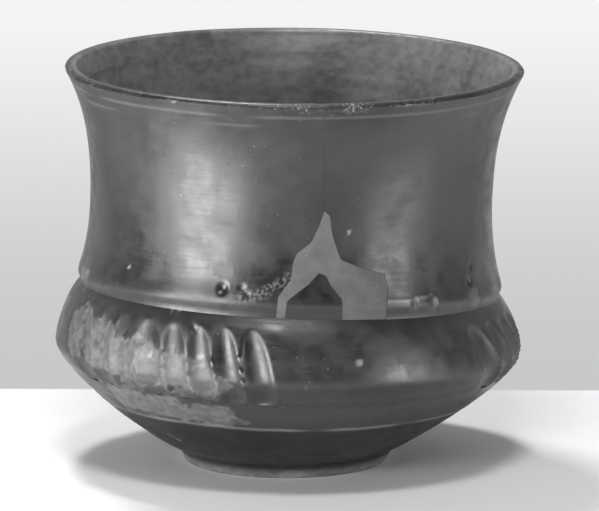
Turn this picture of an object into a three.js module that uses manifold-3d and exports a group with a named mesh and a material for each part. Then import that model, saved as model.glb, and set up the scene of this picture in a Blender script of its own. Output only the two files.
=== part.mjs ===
// A burnished black pot of the later Bronze Age: low ring foot, bowl-shaped lower body, sharp fluted shoulder,
// tall concave neck and flaring rim. It was built up from strips of clay, each luted on the one below along a
// slanted joint, and it stands today as a mended pot: sherds glued along their breaks, and a plaster fill.
// Millimetres, +Z up, the side with the fill towards -Y, the origin in the middle of the foot's resting face.

import * as THREE from 'three';
import { mergeVertices } from 'three/addons/utils/BufferGeometryUtils.js';
import Module from 'manifold-3d';

const wasm = await Module();
wasm.setup();

// Foot and base
const FOOT_RADIUS = 33.4;
const FOOT_HEIGHT = 4.6;
const FOOT_FLARE = 3.0;
const FOOT_FACE_WIDTH = 8.5;
const FOOT_EDGE_ROUNDING = 0.8;
const FLOOR_THICKNESS = 5.2;

// Radii of the outer face
const BELLY_RADIUS = 76.9;
const GROOVE_RADIUS = 69.9;
const WAIST_RADIUS = 66.0;
const RIM_RADIUS = 76.2;

// Rises from one level of the outer face to the next
const BOWL_RISE = 33.8;
const SHOULDER_RISE = 18.4;
const LOWER_NECK_RISE = 29.2;
const UPPER_NECK_RISE = 45.6;

// Bends of the outer face: how long the curve keeps its direction as it leaves a level
const BOWL_SPREAD = 16.6;
const BOWL_SPREAD_RISE = 8.6;
const BELLY_ROUNDING = 6.8;
const SHOULDER_SLOPE = 1.6;
const SHOULDER_SLOPE_RISE = 2.8;
const NECK_TAPER = 2.3;
const NECK_TAPER_RISE = 8.2;
const WAIST_ROUNDING_BELOW = 10.0;
const WAIST_ROUNDING_ABOVE = 18.0;
const RIM_FLARE = 7.2;
const RIM_FLARE_RISE = 13.2;

// Sharp edge at the foot of the neck, over the groove
const EDGE_STANDOUT = 1.6;
const EDGE_ABOVE_GROOVE = 3.2;
const EDGE_FADE = 4.5;

// Wall
const BOWL_WALL = 5.2;
const NECK_WALL = 4.6;
const RIM_WALL = 3.4;
const LIP_ROUNDING = 0.8;

// Joints between the clay strips: level on the outer face, and how far the joint climbs towards the inside
const BASE_JOINT_ABOVE_FOOT = 4.8;
const LOWER_STRIP_RISE = 12.4;
const BELLY_JOINT_BELOW_BELLY = 7.4;
const NECK_JOINT_ABOVE_GROOVE = 0.2;
const RIM_STRIP_HEIGHT = 10.4;
const LOW_JOINT_SLANT = 4.0;
const HIGH_JOINT_SLANT = 3.0;
const JOINT_GAP = 0.3;

// Flutes pressed into the shoulder, in groups with plain stretches between them
const FLUTE_GROUPS = 3;
const FLUTES_PER_GROUP = 8;
const FIRST_GROUP_CENTRE = -35;
const FLUTE_PITCH = 7.8;
const FLUTE_WIDTH = 10.2;
const FLUTE_LENGTH = 25.0;
const FLUTE_DEPTH = 1.5;
const FLUTE_CUTTER_RADIAL = 4.0;
const FLUTE_ABOVE_BELLY = 5.6;
const FLUTE_LEAN = 8;

// Hand-made unevenness: the pot leans to one side, its rings dip to the right and rise in front
const LEAN_AT_FOOT = -1.2;
const LEAN_AT_RIM = 1.6;
const DIP_AT_BELLY = 1.6;
const DIP_AT_GROOVE = 2.7;
const DIP_AT_RIM = 0.8;
const RISE_AT_BELLY = 1.6;
const RISE_AT_GROOVE = 3.4;
const RISE_AT_EDGE = 4.6;
const RISE_AT_WAIST = 2.2;
const FRONT_SOFTNESS = 0.2;

// Fineness of the faceting
const SIDES = 60;
const CURVE_STEPS = 40;
const MERGE_DISTANCE = 1e-4;

// Levels
const BELLY_HEIGHT = FOOT_HEIGHT + BOWL_RISE;
const GROOVE_HEIGHT = BELLY_HEIGHT + SHOULDER_RISE;
const EDGE_HEIGHT = GROOVE_HEIGHT + EDGE_ABOVE_GROOVE;
const WAIST_HEIGHT = GROOVE_HEIGHT + LOWER_NECK_RISE;
const RIM_HEIGHT = WAIST_HEIGHT + UPPER_NECK_RISE;
const FLOOR_HEIGHT = FOOT_HEIGHT + JOINT_GAP + FLOOR_THICKNESS;
const BASE_JOINT = FOOT_HEIGHT + BASE_JOINT_ABOVE_FOOT;
const LOWER_JOINT = BASE_JOINT + LOWER_STRIP_RISE;
const BELLY_JOINT = BELLY_HEIGHT - BELLY_JOINT_BELOW_BELLY;
const NECK_JOINT = GROOVE_HEIGHT + NECK_JOINT_ABOVE_GROOVE;
const RIM_JOINT = RIM_HEIGHT - RIM_STRIP_HEIGHT;

// Breaks: lines of azimuth (degrees from the front towards the right) and height over the joint below.
// PAST stands for a line that runs out through the top or bottom of its strip. The breaks of one place go
// through the wall in one direction, the azimuth that they face.
const PAST = 9;
const NECK_HEIGHT = RIM_JOINT - NECK_JOINT;
const SHOULDER_HEIGHT = NECK_JOINT - BELLY_JOINT;
const FRONT_BREAK_AZIMUTH = 7.5;
const RIGHT_BREAK_AZIMUTH = 70;
const NECK_BREAKS = [
  { facing: 11, lines: [
    [[FRONT_BREAK_AZIMUTH, NECK_HEIGHT + PAST], [8.2, 54.8], [9.0, 36.3]],
    [[9.0, 36.3], [7.8, 32.1], [5.5, 26], [1.5, 22], [0.5, 18.8], [-0.2, 12], [-4, 5.6], [-5, -PAST]],
    [[9.0, 36.3], [10.8, 34.6], [11.5, 28.6], [14, 20], [21.2, 16.3], [27, 14.5], [28, 9.9], [27, -PAST]],
    [[-2.4, -PAST], [-1.4, 4.5], [4.8, 10.4], [7.8, 14.8], [9.8, 13.6], [11, 10.1], [14, 5.5], [15, -PAST]],
  ] },
  { facing: 63, lines: [
    [[RIGHT_BREAK_AZIMUTH, NECK_HEIGHT + PAST], [72, 55.8], [66.8, 41.7], [62, 23.9], [54, 6.3], [53, -PAST]],
  ] },
];
const SHOULDER_BREAKS = [
  { facing: 37, lines: [
    [[29.2, SHOULDER_HEIGHT + PAST], [28, 16.3], [28.2, 3.2], [28.2, -PAST]],
    [[40.5, SHOULDER_HEIGHT + PAST], [42.8, 21.5], [44, 11.2], [45.8, 4.3], [46, -PAST]],
  ] },
];
const RIM_BREAKS = [FRONT_BREAK_AZIMUTH, RIGHT_BREAK_AZIMUTH].map((azimuth) => (
  { facing: azimuth, lines: [[[azimuth, RIM_STRIP_HEIGHT + PAST], [azimuth, -PAST]]] }
));

// Finishes
const BURNISHED_CLAY = { color: 0x303236, roughness: 0.42, metalness: 0 };
const WORN_CLAY = { color: 0x3a3c40, roughness: 0.55, metalness: 0 };
const FOOT_CLAY = { color: 0x2c2e31, roughness: 0.5, metalness: 0 };
const PLASTER = { color: 0x6a6c70, roughness: 0.85, metalness: 0 };

// A value read along a list of [level, value] pairs, eased from one pair to the next.
function along(stations, level) {
  if (level <= stations[0][0]) return stations[0][1];
  for (let i = 1; i < stations.length; i += 1) {
    const [low, from] = stations[i - 1];
    const [high, to] = stations[i];
    if (level <= high) {
      return THREE.MathUtils.lerp(from, to, THREE.MathUtils.smootherstep(level, low, high));
    }
  }
  return stations[stations.length - 1][1];
}

// The outer face without the sharp edge, as points of radius and height from the foot's top to the rim.
function outerFace() {
  const point = (radius, height) => new THREE.Vector2(radius, height);
  const footTop = point(FOOT_RADIUS + FOOT_FLARE, FOOT_HEIGHT);
  const belly = point(BELLY_RADIUS, BELLY_HEIGHT);
  const groove = point(GROOVE_RADIUS, GROOVE_HEIGHT);
  const waist = point(WAIST_RADIUS, WAIST_HEIGHT);
  const rim = point(RIM_RADIUS, RIM_HEIGHT);
  const path = new THREE.CurvePath();
  path.add(new THREE.CubicBezierCurve(
    footTop, footTop.clone().add(point(BOWL_SPREAD, BOWL_SPREAD_RISE)),
    belly.clone().sub(point(0, BELLY_ROUNDING)), belly));
  path.add(new THREE.CubicBezierCurve(
    belly, belly.clone().add(point(0, BELLY_ROUNDING)),
    groove.clone().add(point(SHOULDER_SLOPE, -SHOULDER_SLOPE_RISE)), groove));
  path.add(new THREE.CubicBezierCurve(
    groove, groove.clone().add(point(-NECK_TAPER, NECK_TAPER_RISE)),
    waist.clone().sub(point(0, WAIST_ROUNDING_BELOW)), waist));
  path.add(new THREE.CubicBezierCurve(
    waist, waist.clone().add(point(0, WAIST_ROUNDING_ABOVE)),
    rim.clone().sub(point(RIM_FLARE, RIM_FLARE_RISE)), rim));
  return path.getPoints(CURVE_STEPS);
}

function wallAt(height) {
  return along([[BELLY_HEIGHT, BOWL_WALL], [WAIST_HEIGHT, NECK_WALL], [RIM_HEIGHT, RIM_WALL]], height);
}

// The inner face: the outer one set back by the wall, square to it.
function innerFace(outer) {
  return outer.map((here, i) => {
    const before = outer[Math.max(i - 1, 0)];
    const after = outer[Math.min(i + 1, outer.length - 1)];
    const run = after.clone().sub(before).normalize();
    const wall = wallAt(here.y);
    return new THREE.Vector2(here.x - run.y * wall, here.y + run.x * wall);
  });
}

function radiusOn(face, height) {
  const next = Math.max(1, face.findIndex((point) => point.y >= height));
  const [low, high] = [face[next - 1], face[next]];
  const share = THREE.MathUtils.clamp((height - low.y) / (high.y - low.y), 0, 1);
  return THREE.MathUtils.lerp(low.x, high.x, share);
}

const OUTER = outerFace();
const INNER = innerFace(OUTER);

// How far the sharp edge stands out: a quick step up from the groove, and a slow fade up the neck.
function edgeStandout(height) {
  if (height < EDGE_HEIGHT) {
    return EDGE_STANDOUT * THREE.MathUtils.smoothstep(height, GROOVE_HEIGHT, EDGE_HEIGHT);
  }
  return EDGE_STANDOUT * Math.exp(-(height - EDGE_HEIGHT) / EDGE_FADE);
}

const outerPoint = (height) => new THREE.Vector2(radiusOn(OUTER, height) + edgeStandout(height), height);
const innerPoint = (height) => new THREE.Vector2(radiusOn(INNER, height), height);

function levels(from, to, steps) {
  return Array.from({ length: steps + 1 }, (_, i) => THREE.MathUtils.lerp(from, to, i / steps));
}

// Half the joint gap, measured upright on a joint that climbs by the given slant.
function halfGap(joint) {
  const across = innerPoint(joint.level + joint.slant).sub(outerPoint(joint.level));
  return (JOINT_GAP / 2) * across.length() / Math.abs(across.x);
}

// The cross-section of a clay strip between two joints, closed on itself. The inside is the plainer face.
function stripSection(below, above, outsideSteps, insideSteps) {
  const low = below.level + halfGap(below);
  const high = above.level - halfGap(above);
  const outside = levels(low, high, outsideSteps).map(outerPoint);
  const inside = levels(high + above.slant, low + below.slant, insideSteps).map(innerPoint);
  return [...outside, ...inside, outside[0].clone()];
}

// The cross-section of the rim strip: it has a rounded lip in place of an upper joint.
function rimSection(below, outsideSteps, insideSteps) {
  const low = below.level + halfGap(below);
  const outside = levels(low, RIM_HEIGHT - LIP_ROUNDING, outsideSteps).map(outerPoint);
  const inside = levels(RIM_HEIGHT - LIP_ROUNDING, low + below.slant, insideSteps).map(innerPoint);
  const lip = [
    new THREE.Vector2(outside[outside.length - 1].x - LIP_ROUNDING, RIM_HEIGHT),
    new THREE.Vector2(inside[0].x + LIP_ROUNDING, RIM_HEIGHT),
  ];
  return [...outside, ...lip, ...inside, outside[0].clone()];
}

function footSection() {
  const inner = FOOT_RADIUS - FOOT_FACE_WIDTH;
  return [
    new THREE.Vector2(inner, 0),
    new THREE.Vector2(FOOT_RADIUS - FOOT_EDGE_ROUNDING / 2, 0),
    new THREE.Vector2(FOOT_RADIUS + FOOT_EDGE_ROUNDING / 2, FOOT_EDGE_ROUNDING),
    new THREE.Vector2(FOOT_RADIUS + FOOT_FLARE, FOOT_HEIGHT),
    new THREE.Vector2(inner - FOOT_EDGE_ROUNDING, FOOT_HEIGHT),
    new THREE.Vector2(inner, 0),
  ];
}

// The base slab: it lies on the foot ring, and its turned-up edge carries the first strip of the wall.
function baseSection(above) {
  const low = FOOT_HEIGHT + JOINT_GAP;
  const high = above.level - halfGap(above);
  const outside = levels(low, high, 2).map(outerPoint);
  const inside = levels(high + above.slant, FLOOR_HEIGHT, 2).map(innerPoint);
  return [new THREE.Vector2(0, low), ...outside, ...inside, new THREE.Vector2(0, FLOOR_HEIGHT)];
}

// A closed geometry as a solid that can be joined and cut, its faces turned outwards.
function solid(geometry) {
  geometry.deleteAttribute('normal');
  geometry.deleteAttribute('uv');
  const merged = mergeVertices(geometry, MERGE_DISTANCE);
  const corner = (i) => new THREE.Vector3().fromBufferAttribute(merged.attributes.position, i);
  const triangles = [];
  let volume = 0;
  for (let i = 0; i < merged.index.count; i += 3) {
    const [a, b, c] = [merged.index.getX(i), merged.index.getX(i + 1), merged.index.getX(i + 2)];
    if (a === b || b === c || c === a) continue;
    triangles.push([a, b, c]);
    volume += corner(a).dot(corner(b).cross(corner(c)));
  }
  const outward = volume > 0 ? triangles : triangles.map(([a, b, c]) => [a, c, b]);
  return new wasm.Manifold(new wasm.Mesh({
    numProp: 3,
    vertProperties: Float32Array.from(merged.attributes.position.array),
    triVerts: Uint32Array.from(outward.flat()),
  }));
}

// A section turned round the pot's upright axis.
function turned(section) {
  return solid(new THREE.LatheGeometry(section, SIDES).rotateX(Math.PI / 2));
}

// One flute's cutter: a long rounded lens laid on the shoulder, leaning like the others.
function fluteCutter(azimuth) {
  const level = BELLY_HEIGHT + FLUTE_ABOVE_BELLY;
  const reach = FLUTE_LENGTH / 2;
  const top = outerPoint(Math.min(level + reach, GROOVE_HEIGHT));
  const slope = Math.atan2(outerPoint(level).x - top.x, top.y - level);
  const across = Math.sqrt(1 - (1 - FLUTE_DEPTH / FLUTE_CUTTER_RADIAL) ** 2);
  return solid(new THREE.SphereGeometry(1, 10, 8)
    .rotateX(Math.PI / 2)
    .scale(FLUTE_CUTTER_RADIAL, FLUTE_WIDTH / 2 / across, reach / across)
    .rotateX(THREE.MathUtils.degToRad(-FLUTE_LEAN))
    .rotateY(-slope)
    .translate(outerPoint(level).x + FLUTE_CUTTER_RADIAL - FLUTE_DEPTH, 0, level)
    .rotateZ(THREE.MathUtils.degToRad(azimuth - 90)));
}

function flutedShoulder(ring) {
  let result = ring;
  for (let group = 0; group < FLUTE_GROUPS; group += 1) {
    const centre = FIRST_GROUP_CENTRE + group * 360 / FLUTE_GROUPS;
    for (let flute = 0; flute < FLUTES_PER_GROUP; flute += 1) {
      const azimuth = centre + (flute - (FLUTES_PER_GROUP - 1) / 2) * FLUTE_PITCH;
      result = result.subtract(fluteCutter(azimuth));
    }
  }
  return result;
}

// A thin cut along one straight stretch of a break, right through the wall. The stretch's ends are given by
// azimuth and height on a face of the given radius.
function breakStretch(from, to, { facing, radius, jointLevel }) {
  const across = ([azimuth, height]) => new THREE.Vector2(
    radius * Math.sin(THREE.MathUtils.degToRad(azimuth - facing)), jointLevel + height);
  const start = across(from);
  const end = across(to);
  const run = end.clone().sub(start).setLength(JOINT_GAP / 2);
  const side = new THREE.Vector2(-run.y, run.x);
  start.sub(run);
  end.add(run);
  const shape = new THREE.Shape([
    start.clone().add(side), start.clone().sub(side), end.clone().sub(side), end.clone().add(side),
  ]);
  return solid(new THREE.ExtrudeGeometry(shape, { depth: 2 * radius, bevelEnabled: false })
    .rotateX(Math.PI / 2)
    .rotateZ(THREE.MathUtils.degToRad(facing)));
}

// A ring parted along its breaks, the largest sherd first.
function broken(ring, breaks, radius, jointLevel) {
  let parted = ring;
  for (const { facing, lines } of breaks) {
    for (const line of lines) {
      for (let i = 1; i < line.length; i += 1) {
        parted = parted.subtract(breakStretch(line[i - 1], line[i], { facing, radius, jointLevel }));
      }
    }
  }
  return parted.decompose().sort((a, b) => b.volume() - a.volume());
}

// The pot's unevenness at a point: the higher it lies, the further it leans.
function warped(x, y, z) {
  const lean = THREE.MathUtils.mapLinear(z, 0, RIM_HEIGHT, LEAN_AT_FOOT, LEAN_AT_RIM);
  const dip = along([[0, 0], [FOOT_HEIGHT, 0], [BELLY_HEIGHT, DIP_AT_BELLY], [GROOVE_HEIGHT, DIP_AT_GROOVE],
    [RIM_HEIGHT, DIP_AT_RIM]], z);
  const rise = along([[0, 0], [FOOT_HEIGHT, 0], [BELLY_HEIGHT, RISE_AT_BELLY], [GROOVE_HEIGHT, RISE_AT_GROOVE],
    [EDGE_HEIGHT, RISE_AT_EDGE], [WAIST_HEIGHT, RISE_AT_WAIST], [RIM_HEIGHT, 0]], z);
  const front = -y / WAIST_RADIUS;
  const frontShare = (front + Math.hypot(front, FRONT_SOFTNESS)) / 2;
  return [x + lean, y, z - dip * x / WAIST_RADIUS + rise * frontShare];
}

const pot = new THREE.Group();

function addPiece(name, piece, finish) {
  const { vertProperties, triVerts } = piece.getMesh();
  const positions = [];
  for (let i = 0; i < vertProperties.length; i += 3) {
    positions.push(...warped(vertProperties[i], vertProperties[i + 1], vertProperties[i + 2]));
  }
  const geometry = new THREE.BufferGeometry();
  geometry.setAttribute('position', new THREE.Float32BufferAttribute(positions, 3));
  geometry.setIndex(Array.from(triVerts));
  geometry.computeVertexNormals();
  const mesh = new THREE.Mesh(geometry, new THREE.MeshStandardMaterial(finish));
  mesh.name = name;
  pot.add(mesh);
}

const baseJoint = { level: BASE_JOINT, slant: LOW_JOINT_SLANT };
const lowerJoint = { level: LOWER_JOINT, slant: LOW_JOINT_SLANT };
const bellyJoint = { level: BELLY_JOINT, slant: LOW_JOINT_SLANT };
const neckJoint = { level: NECK_JOINT, slant: HIGH_JOINT_SLANT };
const rimJoint = { level: RIM_JOINT, slant: HIGH_JOINT_SLANT };

addPiece('foot_ring', turned(footSection()), FOOT_CLAY);
addPiece('base_disc', turned(baseSection(baseJoint)), FOOT_CLAY);
addPiece('lower_wall', turned(stripSection(baseJoint, lowerJoint, 3, 2)), FOOT_CLAY);
addPiece('belly_wall', turned(stripSection(lowerJoint, bellyJoint, 3, 2)), WORN_CLAY);

const shoulder = flutedShoulder(turned(stripSection(bellyJoint, neckJoint, 8, 5)));
const [shoulderLarge, shoulderSmall] = broken(shoulder, SHOULDER_BREAKS, BELLY_RADIUS, BELLY_JOINT);
addPiece('shoulder_sherd_large', shoulderLarge, WORN_CLAY);
addPiece('shoulder_sherd_small', shoulderSmall, WORN_CLAY);

const neck = turned(stripSection(neckJoint, rimJoint, 14, 6));
const [neckLeft, neckRight, neckFill, neckBaseSherd] = broken(neck, NECK_BREAKS, WAIST_RADIUS, NECK_JOINT);
addPiece('neck_sherd_left', neckLeft, BURNISHED_CLAY);
addPiece('neck_sherd_right', neckRight, BURNISHED_CLAY);
addPiece('neck_fill', neckFill, PLASTER);
addPiece('neck_base_sherd', neckBaseSherd, BURNISHED_CLAY);

const rim = turned(rimSection(rimJoint, 3, 2));
const [rimLeft, rimRight] = broken(rim, RIM_BREAKS, RIM_RADIUS, RIM_JOINT);
addPiece('rim_strip_left', rimLeft, BURNISHED_CLAY);
addPiece('rim_strip_right', rimRight, BURNISHED_CLAY);

export default pot;
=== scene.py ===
"""The looks of a burnished black pot, later Bronze Age, mended from sherds.

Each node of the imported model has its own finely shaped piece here. The rings of clay are turned from their
cross-sections, parted along the old breaks, and then given the potter's flutes, wear and unevenness.
"""

import math

import bpy
import numpy as np
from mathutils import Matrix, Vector


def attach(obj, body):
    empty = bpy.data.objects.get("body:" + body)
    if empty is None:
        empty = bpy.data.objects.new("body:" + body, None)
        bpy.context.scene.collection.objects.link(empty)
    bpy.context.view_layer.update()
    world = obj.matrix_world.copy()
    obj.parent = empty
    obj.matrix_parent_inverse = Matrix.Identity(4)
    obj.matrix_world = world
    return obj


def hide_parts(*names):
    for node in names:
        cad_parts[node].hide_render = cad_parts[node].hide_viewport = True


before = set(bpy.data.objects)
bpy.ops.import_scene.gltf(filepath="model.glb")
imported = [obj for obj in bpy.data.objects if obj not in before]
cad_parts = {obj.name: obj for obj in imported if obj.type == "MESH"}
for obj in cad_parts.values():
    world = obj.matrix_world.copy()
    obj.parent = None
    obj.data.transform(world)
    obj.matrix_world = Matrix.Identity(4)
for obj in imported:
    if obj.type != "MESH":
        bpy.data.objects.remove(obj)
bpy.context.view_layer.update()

MM = 0.001

# Foot and base, in millimetres like all shapes below
FOOT_RADIUS = 33.4
FOOT_HEIGHT = 4.6
FOOT_FLARE = 3.0
FOOT_FACE_WIDTH = 8.5
FOOT_EDGE_ROUNDING = 0.8
FLOOR_THICKNESS = 5.2

# Radii and levels of the outer face
BELLY_RADIUS = 76.9
GROOVE_RADIUS = 69.9
WAIST_RADIUS = 66.0
RIM_RADIUS = 76.2
BELLY_HEIGHT = FOOT_HEIGHT + 33.8
GROOVE_HEIGHT = BELLY_HEIGHT + 18.4
EDGE_HEIGHT = GROOVE_HEIGHT + 3.2
WAIST_HEIGHT = GROOVE_HEIGHT + 29.2
RIM_HEIGHT = WAIST_HEIGHT + 45.6

# Edge at the foot of the neck, and the hollow under it
EDGE_STANDOUT = 1.1
EDGE_FADE = 6.5
HOLLOW_DEPTH = 0.9
HOLLOW_HALF_HEIGHT = 2.5
HOLLOW_HEIGHT = GROOVE_HEIGHT + 0.9

# Wall, the tight joints between the strips, and the reach of a cutting sheet as shares of the radius
BOWL_WALL = 5.2
NECK_WALL = 4.6
RIM_WALL = 3.4
LIP_ROUNDING = 1.5
JOINT_GAP = 0.02
BREAK_GAP = 0.06
SHEET_REACH = (0.4, 1.7)
FLOOR_HEIGHT = FOOT_HEIGHT + 0.3 + FLOOR_THICKNESS
BASE_JOINT = FOOT_HEIGHT + 4.8
LOWER_JOINT = BASE_JOINT + 12.4
BELLY_JOINT = BELLY_HEIGHT - 7.4
NECK_JOINT = GROOVE_HEIGHT + 0.2
RIM_JOINT = RIM_HEIGHT - 10.4
LOW_SLANT = 4.0
HIGH_SLANT = 3.0

# Unevenness: lean, dip to the right and rise in front, by level
LEAN = ((0, RIM_HEIGHT), (-1.2, 1.6))
DIP = ((0, FOOT_HEIGHT, BELLY_HEIGHT, GROOVE_HEIGHT, RIM_HEIGHT), (0, 0, 1.6, 2.7, 0.8))
RISE = ((0, FOOT_HEIGHT, BELLY_HEIGHT, GROOVE_HEIGHT, EDGE_HEIGHT, WAIST_HEIGHT, RIM_HEIGHT),
        (0, 0, 1.6, 3.4, 4.6, 2.2, 0))
FRONT_SOFTNESS = 0.2

# Fineness of the meshes
TURNS = 600
STEP = 0.8
INSIDE_STEP = 1.8

# Breaks: azimuth in degrees from the front towards the right, and height over the joint below
PAST = 9
NECK_SPAN = RIM_JOINT - NECK_JOINT
SHOULDER_SPAN = NECK_JOINT - BELLY_JOINT
NECK_BREAKS = (
    (11, ((7.5, NECK_SPAN + PAST), (8.2, 54.8), (9.0, 36.3))),
    (11, ((9.0, 36.3), (7.8, 32.1), (5.5, 26), (1.5, 22), (0.5, 18.8), (-0.2, 12), (-4, 5.6),
          (-5, -PAST))),
    (11, ((9.0, 36.3), (10.8, 34.6), (11.5, 28.6), (14, 20), (21.2, 16.3), (27, 14.5), (28, 9.9),
          (27, -PAST))),
    (11, ((-2.4, -PAST), (-1.4, 4.5), (4.8, 10.4), (7.8, 14.8), (9.8, 13.6), (11, 10.1), (14, 5.5),
          (15, -PAST))),
    (63, ((70, NECK_SPAN + PAST), (72, 55.8), (66.8, 41.7), (62, 23.9), (54, 6.3), (53, -PAST))),
)
SHOULDER_BREAKS = (
    (37, ((29.2, SHOULDER_SPAN + PAST), (28, 16.3), (28.2, 3.2), (28.2, -PAST))),
    (37, ((40.5, SHOULDER_SPAN + PAST), (42.8, 21.5), (44, 11.2), (45.8, 4.3), (46, -PAST))),
)
RIM_BREAKS = (
    (7.5, ((7.5, 10.4 + PAST), (7.5, -PAST))),
    (70, ((70, 10.4 + PAST), (70, -PAST))),
)

# Flutes: the ridges' azimuths at the shoulder's middle, each furrow's depth between two ridges, and the lean
LEFT_FLUTES = ((-66.5, -58, -50, -41, -32.5, -25.4, -18.5, -11.6, -4),
               (1.3, 1.1, 1.2, 1.2, 1.2, 1.3, 2.0, 2.2), 4)
RIGHT_FLUTES = ((54, 64, 72, 80, 88, 96, 104, 112, 120),
                (2.0, 2.0, 1.9, 1.8, 1.7, 1.6, 1.5, 1.5), 7)
BACK_FLUTES = ((173.8, 181.6, 189.4, 197.2, 205, 212.8, 220.6, 228.4, 236.2), (1.4,) * 8, 5)
FLUTE_TOP = 53.0
FLUTE_FOOT = 30.8
BEFORE_FLUTES = 60


def smooth_step(low, high, value):
    share = np.clip((value - low) / (high - low), 0, 1)
    return share * share * (3 - 2 * share)


def along(stations, level):
    """A value read along levels, eased from one to the next."""
    levels, values = stations
    level = np.asarray(level, float)
    result = np.full(level.shape, float(values[0]))
    for low, high, start, end in zip(levels, levels[1:], values, values[1:]):
        share = np.clip((level - low) / (high - low), 0, 1)
        eased = share ** 3 * (share * (share * 6 - 15) + 10)
        result = result + (end - start) * eased
    return result


def lumps(points, size, seed):
    """Smooth random unevenness between -1 and 1, in lumps of about the given size."""
    lattice = np.random.default_rng(seed).uniform(-1, 1, (64, 64, 64))
    scaled = points / size + 1000.37
    base = np.floor(scaled).astype(int)
    share = scaled - base
    share = share * share * (3 - 2 * share)
    total = np.zeros(len(points))
    for corner in np.ndindex(2, 2, 2):
        index = (base + corner) % 64
        weight = np.prod(np.where(np.array(corner) == 1, share, 1 - share), axis=1)
        total += weight * lattice[index[:, 0], index[:, 1], index[:, 2]]
    return total


def bezier(*handles, steps=120):
    t = np.linspace(0, 1, steps)[:, None]
    a, b, c, d = (np.array(handle, float) for handle in handles)
    return (1 - t) ** 3 * a + 3 * (1 - t) ** 2 * t * b + 3 * (1 - t) * t ** 2 * c + t ** 3 * d


def outer_face():
    foot_top = FOOT_RADIUS + FOOT_FLARE
    return np.vstack([
        bezier((foot_top, FOOT_HEIGHT), (foot_top + 16.6, FOOT_HEIGHT + 8.6),
               (BELLY_RADIUS, BELLY_HEIGHT - 6.8), (BELLY_RADIUS, BELLY_HEIGHT)),
        bezier((BELLY_RADIUS, BELLY_HEIGHT), (BELLY_RADIUS, BELLY_HEIGHT + 6.8),
               (GROOVE_RADIUS + 1.6, GROOVE_HEIGHT - 2.8), (GROOVE_RADIUS, GROOVE_HEIGHT))[1:],
        bezier((GROOVE_RADIUS, GROOVE_HEIGHT), (GROOVE_RADIUS - 2.3, GROOVE_HEIGHT + 8.2),
               (WAIST_RADIUS, WAIST_HEIGHT - 10), (WAIST_RADIUS, WAIST_HEIGHT))[1:],
        bezier((WAIST_RADIUS, WAIST_HEIGHT), (WAIST_RADIUS, WAIST_HEIGHT + 18),
               (RIM_RADIUS - 7.2, RIM_HEIGHT - 13.2), (RIM_RADIUS, RIM_HEIGHT))[1:],
    ])


OUTER = outer_face()
RUN = np.gradient(OUTER, axis=0)
RUN /= np.linalg.norm(RUN, axis=1)[:, None]
WALLS = along(((BELLY_HEIGHT, WAIST_HEIGHT, RIM_HEIGHT), (BOWL_WALL, NECK_WALL, RIM_WALL)), OUTER[:, 1])
INNER = OUTER + np.stack([-RUN[:, 1], RUN[:, 0]], axis=1) * WALLS[:, None]


def edge_standout(height):
    height = np.asarray(height, float)
    rising = smooth_step(GROOVE_HEIGHT, EDGE_HEIGHT, height)
    fading = np.exp(-np.maximum(height - EDGE_HEIGHT, 0) / EDGE_FADE)
    return EDGE_STANDOUT * rising * fading


def outer_radius(height):
    hollow = HOLLOW_DEPTH * np.exp(-((height - HOLLOW_HEIGHT) / HOLLOW_HALF_HEIGHT) ** 2)
    return np.interp(height, OUTER[:, 1], OUTER[:, 0]) + edge_standout(height) - hollow


def inner_radius(height):
    return np.interp(height, INNER[:, 1], INNER[:, 0])


def face_points(radius_at, start, end, step):
    count = max(2, round(abs(end - start) / step) + 1)
    heights = np.linspace(start, end, count)
    return [(float(radius_at(height)), float(height)) for height in heights]


def strip_section(low, low_slant, high, high_slant):
    """The closed cross-section of a strip of clay between two slanted joints."""
    low, high = low + JOINT_GAP / 2, high - JOINT_GAP / 2
    return (face_points(outer_radius, low, high, STEP)
            + face_points(inner_radius, high + high_slant, low + low_slant, INSIDE_STEP))


def rim_section():
    low = RIM_JOINT + JOINT_GAP / 2
    shoulder = RIM_HEIGHT - LIP_ROUNDING
    outside = face_points(outer_radius, low, shoulder, STEP)
    inside = face_points(inner_radius, shoulder, low + HIGH_SLANT, INSIDE_STEP / 2)
    middle = (outside[-1][0] + inside[0][0]) / 2
    reach = (outside[-1][0] - inside[0][0]) / 2
    lip = [(middle + reach * math.cos(turn), shoulder + LIP_ROUNDING * math.sin(turn))
           for turn in np.linspace(0, math.pi, 9)[1:-1]]
    return outside + lip + inside


def foot_section():
    inner = FOOT_RADIUS - FOOT_FACE_WIDTH
    outside = [(FOOT_RADIUS, 0.0), (FOOT_RADIUS + 0.35, 0.25), (FOOT_RADIUS + 0.6, FOOT_EDGE_ROUNDING)]
    flare = [(FOOT_RADIUS + 0.6 + (FOOT_FLARE - 0.6) * share ** 1.6,
              FOOT_EDGE_ROUNDING + (FOOT_HEIGHT - FOOT_EDGE_ROUNDING) * share)
             for share in np.linspace(0.2, 1, 6)]
    return ([(inner, 0.0), (inner + FOOT_FACE_WIDTH / 2, 0.0)] + outside + flare
            + [(inner, FOOT_HEIGHT), (inner - 1.0, FOOT_HEIGHT - 0.4), (inner - 0.6, 2.0)])


def base_section():
    """The floor slab's cross-section, from the axis below round its turned-up edge to the axis above."""
    high = BASE_JOINT - JOINT_GAP / 2
    outside = face_points(outer_radius, FOOT_HEIGHT + JOINT_GAP, high, STEP)
    inside = face_points(inner_radius, high + LOW_SLANT, FLOOR_HEIGHT, STEP)
    under = [(radius, FOOT_HEIGHT + JOINT_GAP) for radius in np.linspace(0, outside[0][0] - 2, 20)]
    floor = [(radius, FLOOR_HEIGHT) for radius in np.linspace(inside[-1][0] - 2, 0, 20)]
    return under + outside + inside + floor


def choose(ob):
    """Makes one object the only selected and active one."""
    bpy.ops.object.select_all(action="DESELECT")
    ob.select_set(True)
    bpy.context.view_layer.objects.active = ob


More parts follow.
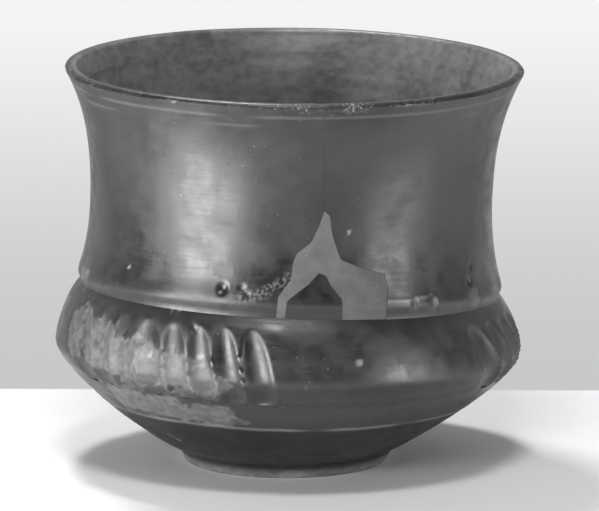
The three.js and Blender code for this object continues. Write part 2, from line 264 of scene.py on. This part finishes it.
def turned(name, section):
    """A cross-section turned round the pot's axis. One that ends on the axis at both ends makes a disc."""
    bpy.ops.object.select_all(action="DESELECT")
    bpy.ops.mesh.primitive_circle_add(vertices=len(section), radius=BELLY_RADIUS * MM, fill_type="NOTHING")
    ring = bpy.context.object
    ring.name = name
    for vertex, (radius, height) in zip(ring.data.vertices, section):
        vertex.co = (radius * MM, 0, height * MM)
    on_axis = section[0][0] == 0 and section[-1][0] == 0
    if on_axis:
        bpy.ops.object.mode_set(mode="EDIT")
        bpy.ops.mesh.select_mode(type="EDGE")
        bpy.ops.object.mode_set(mode="OBJECT")
        for vertex in ring.data.vertices:
            vertex.select = False
        for edge in ring.data.edges:
            edge.select = set(edge.vertices) == {0, len(section) - 1}
        bpy.ops.object.mode_set(mode="EDIT")
        bpy.ops.mesh.delete(type="EDGE")
    else:
        bpy.ops.object.mode_set(mode="EDIT")
    bpy.ops.mesh.select_all(action="SELECT")
    bpy.ops.mesh.spin(steps=TURNS, angle=2 * math.pi, center=(0, 0, 0), axis=(0, 0, 1))
    bpy.ops.mesh.select_all(action="SELECT")
    bpy.ops.mesh.remove_doubles(threshold=1e-6)
    bpy.ops.mesh.normals_make_consistent(inside=False)
    bpy.ops.mesh.select_mode(type="VERT")
    bpy.ops.object.mode_set(mode="OBJECT")
    return ring


def break_sheet(facing, line, radius, joint):
    """A thin slab that follows a break through the wall."""
    turn = math.radians(facing)
    forward = Vector((math.sin(turn), -math.cos(turn), 0))
    sideways = Vector((math.cos(turn), math.sin(turn), 0))
    spots = [sideways * (radius * math.sin(math.radians(azimuth - facing))) + Vector((0, 0, joint + height))
             for azimuth, height in line]
    spots[0] += (spots[0] - spots[1]).normalized() * BREAK_GAP * 2
    spots[-1] += (spots[-1] - spots[-2]).normalized() * BREAK_GAP * 2
    near, far = forward * radius * SHEET_REACH[0], forward * radius * SHEET_REACH[1]
    bpy.ops.object.select_all(action="DESELECT")
    bpy.ops.mesh.primitive_plane_add(size=1)
    sheet = bpy.context.object
    for vertex, place in zip(sheet.data.vertices,
                             (spots[0] + near, spots[1] + near, spots[0] + far, spots[1] + far)):
        vertex.co = place * MM
    for item in (*sheet.data.vertices, *sheet.data.edges, *sheet.data.polygons):
        item.select = False
    for edge in sheet.data.edges:
        edge.select = set(edge.vertices) == {1, 3}
    sheet.data.vertices[1].select = sheet.data.vertices[3].select = True
    bpy.ops.object.mode_set(mode="EDIT")
    for here, there in zip(spots[1:], spots[2:]):
        bpy.ops.mesh.extrude_region_move(TRANSFORM_OT_translate={"value": (there - here) * MM})
    bpy.ops.mesh.select_all(action="SELECT")
    bpy.ops.mesh.normals_make_consistent(inside=False)
    bpy.ops.object.mode_set(mode="OBJECT")
    thick = sheet.modifiers.new("thickness", "SOLIDIFY")
    thick.thickness = BREAK_GAP * MM
    thick.offset = 0
    bpy.ops.object.modifier_apply(modifier=thick.name)
    return sheet


def broken(ring, breaks, radius, joint):
    """The ring parted along its breaks, the largest sherd first."""
    for facing, line in breaks:
        sheet = break_sheet(facing, line, radius, joint)
        choose(ring)
        cut = ring.modifiers.new("break", "BOOLEAN")
        cut.operation = "DIFFERENCE"
        cut.solver = "MANIFOLD"
        cut.object = sheet
        bpy.ops.object.modifier_apply(modifier=cut.name)
        bpy.data.objects.remove(sheet, do_unlink=True)
    choose(ring)
    bpy.ops.mesh.separate(type="LOOSE")
    sherds = list(bpy.context.selected_objects)
    return sorted(sherds, key=lambda sherd: -len(sherd.data.vertices))


# Places of wear on the outer face: azimuth, height, half width in degrees, half height, strength
SPALLS = (
    (-57, 43, 8, 8, 0.75), (-46, 41, 8, 6.5, 1.0), (-36, 40, 8, 6.5, 1.0), (-27, 38.5, 7, 6.5, 1.0),
    (-20, 36, 6, 4.5, 0.8), (-66, 47, 6, 9, 0.6), (-47, 27, 11, 5.0, 0.9), (-34, 26.5, 11, 4.5, 0.9),
    (-23, 26.5, 9, 3.8, 0.8), (-16, 24.5, 5, 2.0, 0.5), (60, 61, 4, 4.5, 0.5), (-76, 60, 5, 4, 0.6),
)
SPALL_DEPTH = 0.32
# Round scars: azimuth, height, half width in degrees, half height
SCARS = ((-21.5, 38.0, 3.9, 5.2), (-37.5, 38.5, 4.6, 5.4))
SCAR_DEPTH = 0.3
# Pits: azimuth, height, half width, depth
PITS = (
    (-18.5, 64.5, 1.7, 0.8), (-13.2, 64.7, 1.3, 0.6), (-11.5, 62.9, 0.9, 0.5), (-25.2, 52.4, 1.2, 0.5),
    (42.0, 60.4, 1.5, 0.6), (35.5, 60.6, 1.2, 0.5), (58.5, 66, 1.4, 0.7), (60.5, 71, 1.0, 0.5),
)
PIT_HEIGHT_SHARE = 1.25
# Pale spots: azimuth, height, half width
SPOTS = ((-50, 67.6, 0.9), (16.2, 86.4, 0.9), (17.5, 45.3, 1.2), (-33, 56.8, 0.8), (-30.8, 57.2, 0.8),
         (-36.8, 44.2, 1.0))
# The pale smear beside the fill, and its half width
SMEAR = ((2, 72), (-3.5, 66.5), (-8, 63.5), (-15, 61.5))
SMEAR_HALF_WIDTH = 3.2
# Chipped stretches of the lip: azimuth, half width in degrees, strength
LIP_WEAR = ((9, 13, 1.0), (-76, 16, 0.7), (88, 8, 0.8), (34, 14, 0.35), (152, 20, 0.6), (-132, 15, 0.5))
LEAST_LIP_WEAR = 0.12
# Lines round the pot: height, half height, strength
LINES = ((126.8, 0.35, 0.32), (123.9, 0.4, 0.25), (LOWER_JOINT, 0.45, 0.9))
LINE_WANDER = 0.35
HAIRLINES = (
    ((26.5, 62.0), (31, 61.6), (37, 62.4), (41.8, 63.2)),
    ((-46, 15.1), (-44, 13.6), (-41.8, 13.1)),
)
# Ledge under the shoulder, where the wall's outer face steps in
LEDGE_HEIGHT = BELLY_JOINT + 0.4
LEDGE_HALF_HEIGHT = 0.7
LEDGE_DEPTH = 0.35
# Half height of the painted shade along the groove under the neck's edge; the ledge gets the same painted
# shade
PAINTED_SHADE_HALF_HEIGHT = 1.6
# How far from a face a point still counts as lying on it
FACE_DEPTH = 1.5


def patch(azimuth, height, centre, middle, half_width, half_height):
    """How deep a point lies inside an oval patch: 1 in the middle and 0 on its edge."""
    across = ((azimuth - centre + 180) % 360 - 180) / half_width
    return 1 - np.hypot(across, (height - middle) / half_height)


def flute_depth(azimuth, height, ridges, depths, lean):
    """How deep the furrows between the ridges are pressed at each point."""
    middle = (FLUTE_TOP + FLUTE_FOOT) / 2
    slid = azimuth - lean * (middle - height) / (FLUTE_TOP - FLUTE_FOOT)
    slid = (slid - ridges[0] + BEFORE_FLUTES) % 360 + ridges[0] - BEFORE_FLUTES
    total = np.zeros_like(azimuth)
    for left, right, depth in zip(ridges, ridges[1:], depths):
        across = (slid - (left + right) / 2) / ((right - left) / 2)
        upright = (height - middle) / ((FLUTE_TOP - FLUTE_FOOT) / 2)
        leaf = 1 - np.where(upright > 0, np.clip(upright, 0, 1) ** 1.8, np.clip(-upright, 0, 1) ** 7)
        furrow = np.clip(1 - np.abs(across) ** 2.4 / np.maximum(leaf, 0.04) ** 0.9, 0, 1)
        total += depth * furrow * leaf ** 0.5
    return total


def polyline_distance(azimuth, height, line):
    """Distance in millimetres over the face from each point to a line of azimuth and height."""
    x, y = np.radians(azimuth) * WAIST_RADIUS, height
    nearest = np.full(azimuth.shape, 1e3)
    for (a0, h0), (a1, h1) in zip(line, line[1:]):
        start = np.array([math.radians(a0) * WAIST_RADIUS, h0])
        run = np.array([math.radians(a1) * WAIST_RADIUS, h1]) - start
        share = np.clip(((x - start[0]) * run[0] + (y - start[1]) * run[1]) / (run @ run), 0, 1)
        away = np.hypot(x - start[0] - share * run[0], y - start[1] - share * run[1])
        nearest = np.minimum(nearest, away)
    return nearest


def write_mask(piece, name, values):
    mask = piece.data.attributes.new(name, "FLOAT", "POINT")
    mask.data.foreach_set("value", np.clip(values, 0, 1).astype(np.float32))


def flaked(azimuth, height, ragged):
    """Where the burnish flaked off, where round scars lie, and the scars' edges."""
    spall, scar, scar_edge = (np.zeros_like(azimuth) for _ in range(3))
    for centre, middle, half_width, half_height, strength in SPALLS:
        deep = patch(azimuth, height, centre, middle, half_width, half_height)
        spall = np.maximum(spall, strength * smooth_step(-0.08, 0.12, deep + ragged * 0.9))
    for centre, middle, half_width, half_height in SCARS:
        deep = patch(azimuth, height, centre, middle, half_width, half_height) + ragged * 0.12
        scar = np.maximum(scar, smooth_step(0, 0.12, deep))
        rising, falling = smooth_step(-0.12, 0, deep), 1 - smooth_step(0.02, 0.16, deep)
        scar_edge = np.maximum(scar_edge, rising * falling)
    return spall, scar, scar_edge


def pitted(azimuth, height):
    """Where the pits are, how deep they are, and where the pale spots are."""
    pit, pit_depth, spot = (np.zeros_like(azimuth) for _ in range(3))
    for centre, middle, size, depth in PITS:
        half_width = math.degrees(size / WAIST_RADIUS)
        deep = patch(azimuth, height, centre, middle, half_width, size * PIT_HEIGHT_SHARE)
        pit = np.maximum(pit, smooth_step(0, 0.5, deep))
        pit_depth = np.maximum(pit_depth, depth * smooth_step(-0.2, 0.6, deep))
    for centre, middle, size in SPOTS:
        deep = patch(azimuth, height, centre, middle, math.degrees(size / WAIST_RADIUS), size)
        spot = np.maximum(spot, smooth_step(0, 0.5, deep))
    return pit, pit_depth, spot


def lined(points, azimuth, height):
    """Where the thin light lines and the hairline cracks run."""
    line = np.zeros_like(azimuth)
    for level, half_height, strength in LINES:
        wander = level + LINE_WANDER * lumps(points, 14, 6)
        line = np.maximum(line, strength * (1 - smooth_step(0, half_height, np.abs(height - wander))))
    for hairline in HAIRLINES:
        away = polyline_distance(azimuth, height, hairline)
        line = np.maximum(line, 0.8 * (1 - smooth_step(0.1, 0.5, away)))
    return line


def chipped_lip(azimuth, height):
    """How chipped the lip is, deepest in its worn stretches."""
    wear = np.full(azimuth.shape, LEAST_LIP_WEAR)
    for centre, half_width, strength in LIP_WEAR:
        away = (azimuth - centre + 180) % 360 - 180
        wear = np.maximum(wear, strength * np.exp(-(away / half_width) ** 2))
    return wear * smooth_step(RIM_HEIGHT - 1.8 - 2.8 * wear, RIM_HEIGHT - 1.0, height)


def moved(points, move):
    """Points moved along the outer face's normal, then leaned, dipped and raised as the whole pot is."""
    x, y, height = points.T
    radius = np.maximum(np.hypot(x, y), 1e-6)
    rise, run = np.interp(height, OUTER[:, 1], RUN[:, 0]), np.interp(height, OUTER[:, 1], RUN[:, 1])
    move = np.where(height < FOOT_HEIGHT, move * 0.3, move)
    move = np.where(radius < FOOT_RADIUS, 0, move)
    shifted = radius + move * run
    height = np.where(height > 0.5, height - move * rise, height)
    x, y = x * shifted / radius, y * shifted / radius
    front = -y / WAIST_RADIUS
    front = (front + np.hypot(front, FRONT_SOFTNESS)) / 2
    raised = height - along(DIP, height) * x / WAIST_RADIUS + along(RISE, height) * front
    return np.stack([x + np.interp(height, *LEAN), y, raised], axis=1)


def shape(piece, kind):
    """Gives a turned piece its flutes, wear and the pot's unevenness, and marks its worn places and where
    shade is painted into the groove and under the ledge.
    """
    flat = np.empty(len(piece.data.vertices) * 3)
    piece.data.vertices.foreach_get("co", flat)
    points = flat.reshape(-1, 3) / MM
    x, y, height = points.T
    radius = np.maximum(np.hypot(x, y), 1e-6)
    azimuth = np.degrees(np.arctan2(x, -y))
    outside = np.clip(1 - (outer_radius(height) - radius) / FACE_DEPTH, 0, 1)
    inside = np.clip(1 - (radius - inner_radius(height)) / FACE_DEPTH, 0, 1)
    over_foot = smooth_step(0.2, 6, height)
    ragged = 0.35 * lumps(points, 5, 3) + 0.25 * lumps(points, 2.2, 4) + 0.15 * lumps(points, 1.1, 5)

    spall, scar, scar_edge = flaked(azimuth, height, ragged)
    spall *= outside
    pit, pit_depth, spot = pitted(azimuth, height)
    line = lined(points, azimuth, height) * outside
    lip = chipped_lip(azimuth, height)
    beside_fill = polyline_distance(azimuth, height, SMEAR)
    smear = outside * (1 - smooth_step(0.2, SMEAR_HALF_WIDTH, beside_fill))
    ledge = np.exp(-((height - LEDGE_HEIGHT) / LEDGE_HALF_HEIGHT) ** 2) * outside
    # Painted shade: the colour is darkened along the ledge and along the groove under the neck's edge, where
    # shade falls
    painted_groove_shade = np.maximum(ledge, np.exp(-((height - GROOVE_HEIGHT) / PAINTED_SHADE_HALF_HEIGHT) ** 2) * outside)

    move = over_foot * (0.30 * lumps(points, 26, 7) + 0.10 * lumps(points, 10, 8))
    move = move + 0.08 * outside * over_foot * lumps(points * (1, 1, 0.35), 6.5, 9)
    if kind == "shoulder":
        for ridges, depths, lean in (LEFT_FLUTES, RIGHT_FLUTES, BACK_FLUTES):
            move = move - outside * flute_depth(azimuth, height, ridges, depths, lean)
    move = move - spall * (SPALL_DEPTH + 0.10 * ragged) - SCAR_DEPTH * scar * outside
    move = move - pit_depth * outside - LEDGE_DEPTH * ledge
    move = move + 0.12 * line + 0.35 * lip * lumps(points, 1.6, 12)
    if kind == "neck":
        move = move + inside * 0.12 * np.sin(height * 1.1 + lumps(points, 20, 10))
    if kind == "fill":
        move = move - outside * (0.10 + 0.10 * ragged)

    piece.data.vertices.foreach_set("co", (moved(points, move) * MM).ravel())
    piece.data.update()
    masks = {"spall": spall, "scar": scar, "scar_edge": scar_edge, "pit": pit, "spot": spot, "line": line,
             "lip": lip, "painted_groove_shade": painted_groove_shade, "inside": inside, "smear": smear}
    for name, values in masks.items():
        write_mask(piece, name, values)


class Recipe:
    """A small helper that lays out one material's nodes."""

    def __init__(self, name):
        self.material = bpy.data.materials.new(name)
        self.material.use_nodes = True
        self.tree = self.material.node_tree
        self.tree.nodes.clear()
        self.shader = self.add("ShaderNodeBsdfPrincipled")
        output = self.add("ShaderNodeOutputMaterial")
        self.tree.links.new(self.shader.outputs[0], output.inputs["Surface"])
        self.object_coords = self.add("ShaderNodeTexCoord").outputs["Object"]

    def add(self, kind, **settings):
        node = self.tree.nodes.new(kind)
        for key, value in settings.items():
            setattr(node, key, value)
        return node

    def put(self, socket, value):
        if isinstance(value, bpy.types.NodeSocket):
            self.tree.links.new(value, socket)
        else:
            socket.default_value = value

    def noise(self, per_mm, detail=4, stretch=(1, 1, 1), distortion=0.0):
        """Noise with the given number of grains in a millimetre, drawn out along an axis by stretch."""
        mapping = self.add("ShaderNodeMapping")
        mapping.inputs["Scale"].default_value = [per_mm / MM * part for part in stretch]
        self.put(mapping.inputs["Vector"], self.object_coords)
        noise = self.add("ShaderNodeTexNoise")
        noise.inputs["Scale"].default_value = 1
        noise.inputs["Detail"].default_value = detail
        noise.inputs["Distortion"].default_value = distortion
        self.put(noise.inputs["Vector"], mapping.outputs[0])
        return noise.outputs["Fac"]

    def ramp(self, value, low, high, start=0.0, end=1.0):
        node = self.add("ShaderNodeMapRange", clamp=True, interpolation_type="SMOOTHSTEP")
        for socket, number in zip(node.inputs[1:5], (low, high, start, end)):
            socket.default_value = number
        self.put(node.inputs[0], value)
        return node.outputs[0]

    def math(self, operation, a, b):
        node = self.add("ShaderNodeMath", operation=operation)
        self.put(node.inputs[0], a)
        self.put(node.inputs[1], b)
        return node.outputs[0]

    def times(self, a, b):
        return self.math("MULTIPLY", a, b)

    def mask(self, name):
        return self.add("ShaderNodeAttribute", attribute_name=name).outputs["Fac"]

    def blend(self, share, a, b):
        node = self.add("ShaderNodeMix", data_type="RGBA")
        self.put(node.inputs["Factor"], share)
        self.put(node.inputs[6], a)
        self.put(node.inputs[7], b)
        return node.outputs[2]

    def over(self, colour, mask, strength, tone):
        """A colour with another laid over it where the mask is, at the given strength."""
        return self.blend(self.times(mask, strength), colour, tone)

    def mix(self, share, a, b):
        node = self.add("ShaderNodeMix", data_type="FLOAT")
        self.put(node.inputs["Factor"], share)
        self.put(node.inputs[2], a)
        self.put(node.inputs[3], b)
        return node.outputs[0]

    def bump(self, height, strength, distance_mm, under=None):
        node = self.add("ShaderNodeBump")
        node.inputs["Strength"].default_value = strength
        node.inputs["Distance"].default_value = distance_mm * MM
        self.put(node.inputs["Height"], height)
        if under is not None:
            self.put(node.inputs["Normal"], under)
        return node.outputs[0]


def grey(value, tint=0.0):
    return (value * (1 - tint), value, value * (1 + 1.6 * tint), 1)


def clay_tone(m, smudges, dark, pale):
    """The clay's own tone: cloudy and dark outside, paler and mottled inside."""
    clouds = m.noise(0.035, detail=5, distortion=0.6)
    tone = m.math("ADD", m.ramp(clouds, 0.32, 0.68, 0, 0.6), m.ramp(smudges, 0.35, 0.7, 0, 0.4))
    mottle = m.math("ADD", m.ramp(m.noise(0.05, detail=4), 0.35, 0.65, 0, 0.5),
                    m.ramp(m.noise(0.3, detail=8, stretch=(1, 1, 1.5)), 0.3, 0.7, 0, 0.5))
    stains = m.blend(mottle, grey(0.10, 0.02), grey(0.25, 0.02))
    return m.blend(m.mask("inside"), m.blend(tone, grey(dark, 0.03), grey(pale, 0.03)), stains)


def wear_over(m, colour, holes, worn, dust):
    """The clay's colour with its flecks, holes, flaked places, lines and dust laid over it, and painted
    shade darkening the groove under the neck's edge and the ledge under the shoulder.
    """
    colour = m.over(colour, m.ramp(m.noise(1.1, detail=2), 0.71, 0.77), 0.6, grey(0.22, 0.02))
    colour = m.blend(holes, colour, grey(0.008))
    bare = m.blend(m.ramp(m.noise(0.4, detail=7), 0.3, 0.7), grey(0.07, 0.02), grey(0.135, 0.02))
    colour = m.blend(worn, colour, bare)
    colour = m.over(colour, m.mask("scar"), 0.5, grey(0.07))
    ragged = m.ramp(m.noise(0.7, detail=4), 0.42, 0.62)
    colour = m.over(colour, m.times(m.mask("scar_edge"), ragged), 0.7, grey(0.22))
    colour = m.over(colour, dust, 0.75, grey(0.11, 0.02))
    colour = m.over(colour, m.mask("line"), 0.7, grey(0.26, 0.02))
    colour = m.over(colour, m.mask("spot"), 0.8, grey(0.30))
    chips = m.ramp(m.noise(1.1, detail=4), 0.50, 0.64)
    speckle = m.times(chips, m.ramp(m.noise(0.09, detail=3), 0.35, 0.65))
    colour = m.over(colour, m.mask("lip"), speckle, grey(0.34, 0.02))
    # Painted shade darkens the groove under the neck's edge and the ledge under the shoulder
    colour = m.over(colour, m.mask("painted_groove_shade"), 0.55, grey(0.010))
    return m.over(colour, m.mask("pit"), 0.7, grey(0.012))


def clay(name, dark, pale, gloss, shine):
    """Fired clay, black and burnished: finely stroked, pitted and flecked, and duller where it wore."""
    m = Recipe(name)
    smudges = m.noise(0.16, detail=6)
    strokes = m.noise(0.7, detail=3, stretch=(1, 1, 0.06))
    wipes = m.noise(1.6, detail=3, stretch=(0.05, 0.05, 1))
    grain = m.noise(4.5, detail=3)
    holes = m.ramp(m.noise(0.95, detail=1), 0.765, 0.80)
    flaking = m.ramp(m.noise(0.5, detail=5), 0.25, 0.6, 0.65, 1.0)
    worn = m.ramp(m.times(m.mask("spall"), flaking), 0.1, 0.8)
    dust = m.times(m.mask("smear"), m.ramp(m.noise(0.9, detail=6), 0.44, 0.58))
    colour = wear_over(m, clay_tone(m, smudges, dark, pale), holes, worn, dust)
    m.put(m.shader.inputs["Base Color"], colour)
    rough = m.ramp(smudges, 0.3, 0.75, gloss - 0.05, gloss + 0.12)
    rough = m.math("ADD", rough, m.ramp(wipes, 0.3, 0.7, -0.03, 0.04))
    rough = m.mix(worn, rough, 0.5)
    rough = m.mix(dust, rough, 0.6)
    rough = m.mix(m.mask("inside"), rough, 0.34)
    rough = m.mix(m.times(m.mask("lip"), 0.6), rough, 0.6)
    m.put(m.shader.inputs["Roughness"], rough)
    m.shader.inputs["Specular IOR Level"].default_value = shine
    normal = m.bump(strokes, 0.20, 0.12)
    normal = m.bump(wipes, 0.05, 0.08, normal)
    normal = m.bump(m.times(grain, m.mix(worn, 0.3, 1.0)), 0.5, 0.10, normal)
    normal = m.bump(m.times(holes, -1), 0.8, 0.35, normal)
    m.put(m.shader.inputs["Normal"], normal)
    return m.material


def plaster():
    """Toned plaster: matt, faintly mottled, with fine pores."""
    m = Recipe("toned_plaster")
    tone = m.noise(0.12, detail=6)
    colour = m.blend(m.ramp(tone, 0.3, 0.7), grey(0.080, 0.02), grey(0.125, 0.02))
    pores = m.ramp(m.noise(1.5, detail=2), 0.68, 0.74)
    colour = m.blend(pores, colour, grey(0.03))
    colour = m.blend(m.ramp(m.noise(1.9, detail=2), 0.70, 0.76), colour, grey(0.30))
    m.put(m.shader.inputs["Base Color"], colour)
    m.put(m.shader.inputs["Roughness"], m.ramp(tone, 0.3, 0.7, 0.62, 0.8))
    normal = m.bump(m.noise(2.2, detail=4), 0.4, 0.10)
    m.put(m.shader.inputs["Normal"], m.bump(m.times(pores, -1), 0.6, 0.25, normal))
    return m.material


BURNISHED = clay("burnished_clay", 0.006, 0.020, 0.35, 0.8)
WORN = clay("worn_clay", 0.010, 0.032, 0.36, 0.8)
FOOT = clay("foot_clay", 0.007, 0.024, 0.42, 0.4)
PLASTER = plaster()


def finish(piece, node, kind, material):
    """A piece's last steps: its shape, soft shading and material, and its place in the model."""
    shape(piece, kind)
    piece.name = node + "_finished"
    piece.data.materials.clear()
    piece.data.materials.append(material)
    choose(piece)
    bpy.ops.object.shade_smooth_by_angle(angle=math.radians(40))
    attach(piece, "root")
    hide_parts(node)


def make_pot():
    finish(turned("foot", foot_section()), "foot_ring", "foot", FOOT)
    finish(turned("base", base_section()), "base_disc", "foot", FOOT)
    lower = turned("lower", strip_section(BASE_JOINT, LOW_SLANT, LOWER_JOINT, LOW_SLANT))
    finish(lower, "lower_wall", "wall", FOOT)
    belly = turned("belly", strip_section(LOWER_JOINT, LOW_SLANT, BELLY_JOINT, LOW_SLANT))
    finish(belly, "belly_wall", "wall", WORN)
    shoulder = turned("shoulder", strip_section(BELLY_JOINT, LOW_SLANT, NECK_JOINT, HIGH_SLANT))
    large, small = broken(shoulder, SHOULDER_BREAKS, BELLY_RADIUS, BELLY_JOINT)[:2]
    finish(large, "shoulder_sherd_large", "shoulder", WORN)
    finish(small, "shoulder_sherd_small", "shoulder", WORN)
    neck = turned("neck", strip_section(NECK_JOINT, HIGH_SLANT, RIM_JOINT, HIGH_SLANT))
    left, right, fill, sherd = broken(neck, NECK_BREAKS, WAIST_RADIUS, NECK_JOINT)[:4]
    finish(left, "neck_sherd_left", "neck", BURNISHED)
    finish(right, "neck_sherd_right", "neck", BURNISHED)
    finish(fill, "neck_fill", "fill", PLASTER)
    finish(sherd, "neck_base_sherd", "neck", BURNISHED)
    rim = turned("rim", rim_section())
    rim_left, rim_right = broken(rim, RIM_BREAKS, RIM_RADIUS, RIM_JOINT)[:2]
    finish(rim_left, "rim_strip_left", "rim", BURNISHED)
    finish(rim_right, "rim_strip_right", "rim", BURNISHED)


# The camera: far off and a little above the rim, as the photograph was taken
CAMERA_DISTANCE = 2.4
CAMERA_HEIGHT = 0.5444
AIM_HEIGHT = 0.064
FRAME_WIDTH_PX = 599
MM_PER_PX = 0.33
SHIFT_PX = (10, 11)


def make_camera():
    data = bpy.data.cameras.new("camera")
    camera = bpy.data.objects.new("camera", data)
    bpy.context.collection.objects.link(camera)
    camera.location = (0, -CAMERA_DISTANCE, CAMERA_HEIGHT)
    sight = Vector((0, 0, AIM_HEIGHT)) - camera.location
    camera.rotation_euler = sight.to_track_quat("-Z", "Y").to_euler()
    data.sensor_width = 36
    data.lens = 36 * sight.length / (MM_PER_PX * MM * FRAME_WIDTH_PX)
    data.shift_x = SHIFT_PX[0] / FRAME_WIDTH_PX
    data.shift_y = SHIFT_PX[1] / FRAME_WIDTH_PX
    data.clip_end = 20
    bpy.context.scene.camera = camera


# The table's far edge, how far the background's tone runs, and the tones of both, in metres and greys
TABLE_EDGE = 0.103
TABLE_EDGE_SLANT = 0.012
TABLE_EDGE_SOFTNESS = 0.0012
TABLE_SIDE = 8
TABLE_TONE = 0.93
BACKDROP_FAR = 1.0
BACKDROP_NEAR_TONE = 0.58
BACKDROP_FAR_TONE = 0.92


def make_floor():
    """A pale table top; past its far edge the same plane shows an evenly graded grey background."""
    bpy.ops.object.select_all(action="DESELECT")
    bpy.ops.mesh.primitive_plane_add(size=TABLE_SIDE)
    floor = bpy.context.object
    floor.name = "floor"
    m = Recipe("floor")
    parts = m.add("ShaderNodeSeparateXYZ")
    m.put(parts.inputs[0], m.object_coords)
    reach = m.math("ADD", parts.outputs["Y"], m.times(parts.outputs["X"], TABLE_EDGE_SLANT))
    behind = m.ramp(reach, TABLE_EDGE - TABLE_EDGE_SOFTNESS, TABLE_EDGE + TABLE_EDGE_SOFTNESS)
    backdrop = m.blend(m.ramp(reach, TABLE_EDGE, BACKDROP_FAR),
                       grey(BACKDROP_NEAR_TONE), grey(BACKDROP_FAR_TONE))
    m.shader.inputs["Base Color"].default_value = grey(TABLE_TONE)
    m.shader.inputs["Roughness"].default_value = 0.9
    m.shader.inputs["Specular IOR Level"].default_value = 0.1
    glow = m.add("ShaderNodeEmission")
    m.put(glow.inputs["Color"], backdrop)
    glow.inputs["Strength"].default_value = 1
    path = m.add("ShaderNodeLightPath")
    seen = m.math("MAXIMUM", path.outputs["Is Camera Ray"],
                  m.math("MAXIMUM", path.outputs["Is Glossy Ray"], path.outputs["Is Transmission Ray"]))
    both = m.add("ShaderNodeMixShader")
    m.put(both.inputs[0], m.times(behind, seen))
    m.put(both.inputs[1], m.shader.outputs[0])
    m.put(both.inputs[2], glow.outputs[0])
    output = next(node for node in m.tree.nodes if node.type == "OUTPUT_MATERIAL")
    m.tree.links.new(both.outputs[0], output.inputs["Surface"])
    floor.data.materials.append(m.material)


# Lights, in metres and watts: name, place, target, width and length, power. The cards lie on the table and
# face up, so that they show in the neck as pale reflections and leave the table as it is.
MIDDLE = (0, 0, 0.07)
LIGHTS = (
    ("key", (-0.67, -0.59, 0.15), MIDDLE, (0.5, 0.3), 7.5),
    ("side", (0.77, -0.48, 0.15), MIDDLE, (0.26, 0.3), 2.2),
    ("key_card", (-0.27, -0.24, 0.004), (-0.27, -0.24, 1.0), (0.24, 0.24), 1.7),
    ("side_card", (0.30, -0.19, 0.004), (0.30, -0.19, 1.0), (0.18, 0.2), 0.3),
    ("top", (-0.30, 0.55, 1.5), MIDDLE, (0.25, 0.25), 13.5),
    ("front_top", (-0.06, -0.72, 1.35), MIDDLE, (0.36, 0.22), 8),
)
# The room's light grows from the front towards the back: the directions' Y, and the strengths there
ROOM_FRONT, ROOM_BACK = -0.35, 0.75
ROOM_FRONT_STRENGTH, ROOM_BACK_STRENGTH = 0.06, 0.48


def area_light(name, place, target, size, power):
    data = bpy.data.lights.new(name, "AREA")
    data.shape = "RECTANGLE"
    data.size, data.size_y = size
    data.energy = power
    lamp = bpy.data.objects.new(name, data)
    bpy.context.collection.objects.link(lamp)
    lamp.location = place
    lamp.rotation_euler = (Vector(target) - lamp.location).to_track_quat("-Z", "Y").to_euler()
    lamp.visible_camera = False


def make_room():
    """An even white room, dim in front of the pot and lighter behind it."""
    world = bpy.data.worlds.new("room")
    bpy.context.scene.world = world
    world.use_nodes = True
    nodes, links = world.node_tree.nodes, world.node_tree.links
    direction = nodes.new("ShaderNodeTexCoord")
    parts = nodes.new("ShaderNodeSeparateXYZ")
    level = nodes.new("ShaderNodeMapRange")
    levels = (ROOM_FRONT, ROOM_BACK, ROOM_FRONT_STRENGTH, ROOM_BACK_STRENGTH)
    for socket, number in zip(level.inputs[1:5], levels):
        socket.default_value = number
    links.new(direction.outputs["Generated"], parts.inputs[0])
    links.new(parts.outputs["Y"], level.inputs[0])
    links.new(level.outputs[0], nodes["Background"].inputs["Strength"])
    nodes["Background"].inputs["Color"].default_value = (1, 1, 1, 1)


make_camera()
make_pot()
make_floor()
for light in LIGHTS:
    area_light(*light)
make_room()
bpy.context.scene.view_settings.view_transform = "Standard"
